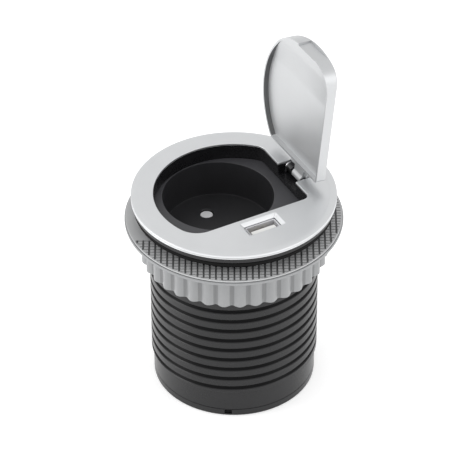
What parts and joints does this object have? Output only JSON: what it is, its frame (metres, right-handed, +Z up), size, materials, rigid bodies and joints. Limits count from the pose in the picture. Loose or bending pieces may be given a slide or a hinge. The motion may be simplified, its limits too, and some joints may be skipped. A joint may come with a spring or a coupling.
{
  "type": "desk grommet",
  "caption": "Threaded desk grommet with a hinged lid over a round well, a USB charging port in its cover ring, and a clamping nut that holds it in a worktop cut-out.",
  "frame": {"origin": "centre of the underside of the bottom cap, on the sleeve axis", "axes": "+Z up along the sleeve axis, +Y towards the lid hinge, +X towards the USB port"},
  "size_m": [0.099, 0.099, 0.1664],
  "materials": {
    "cover_satin": "satin silver",
    "body_black": "semi-gloss black",
    "seal_rubber": "matt",
    "nut_grey": "satin, slightly translucent",
    "washer_grey": "fine moulded grid",
    "bright_steel": "bright",
    "cap_grey": "satin",
    "tongue_white": "satin",
    "contact_gold": "plated",
    "board_green": "satin",
    "ferrite_dark": "matt",
    "can_blue": "gloss"
  },
  "bodies": {
    "base": {"cover_ring": "cover_satin", "body_sleeve": "body_black", "well_cup": "body_black", "bottom_cap": "body_black", "cord_clamp": "body_black", "seal_ring": "seal_rubber", "inlet_bush": "seal_rubber", "hinge_pin": "bright_steel", "hinge_spring": "bright_steel", "usb_shell": "bright_steel", "cup_bracket": "bright_steel", "well_screw_1": "bright_steel", "well_screw_2": "bright_steel", "cover_screw_1": "bright_steel", "cover_screw_2": "bright_steel", "cover_screw_3": "bright_steel", "cover_screw_4": "bright_steel", "cap_screw_1": "bright_steel", "cap_screw_2": "bright_steel", "cap_screw_3": "bright_steel", "board_screw_1": "bright_steel", "board_screw_2": "bright_steel", "board_screw_3": "bright_steel", "clamp_screw_1": "bright_steel", "clamp_screw_2": "bright_steel", "screw_cap_1": "cap_grey", "screw_cap_2": "cap_grey", "usb_tongue": "tongue_white", "link_cable": "tongue_white", "usb_contact_1": "contact_gold", "usb_contact_2": "contact_gold", "usb_contact_3": "contact_gold", "usb_contact_4": "contact_gold", "usb_board": "board_green", "charger_board": "board_green", "terminal_block": "board_green", "transformer": "ferrite_dark", "capacitor_1": "can_blue", "capacitor_2": "can_blue"},
    "lid": {"lid": "cover_satin"},
    "washer": {"grip_washer": "washer_grey"},
    "nut": {"lock_nut": "nut_grey"}
  },
  "joints": [
    {"name": "lid_hinge", "type": "hinge", "parent": "base", "child": "lid", "pos_m": [0, 0.0334, 0.0985], "axis": [1, 0, 0], "range_deg": [0, 96]},
    {"name": "nut_travel", "type": "slide", "parent": "base", "child": "washer", "axis": [0, 0, 1], "range_m": [-0.052, 0.0045]},
    {"name": "nut_turn", "type": "hinge", "parent": "washer", "child": "nut", "pos_m": [0, 0, 0.078], "axis": [0, 0, 1], "range_deg": [-3340, 288]}
  ],
  "couplings": [
    {"joint": "nut_travel", "follows": "nut_turn", "m_per_rad": 0.00089127}
  ]
}
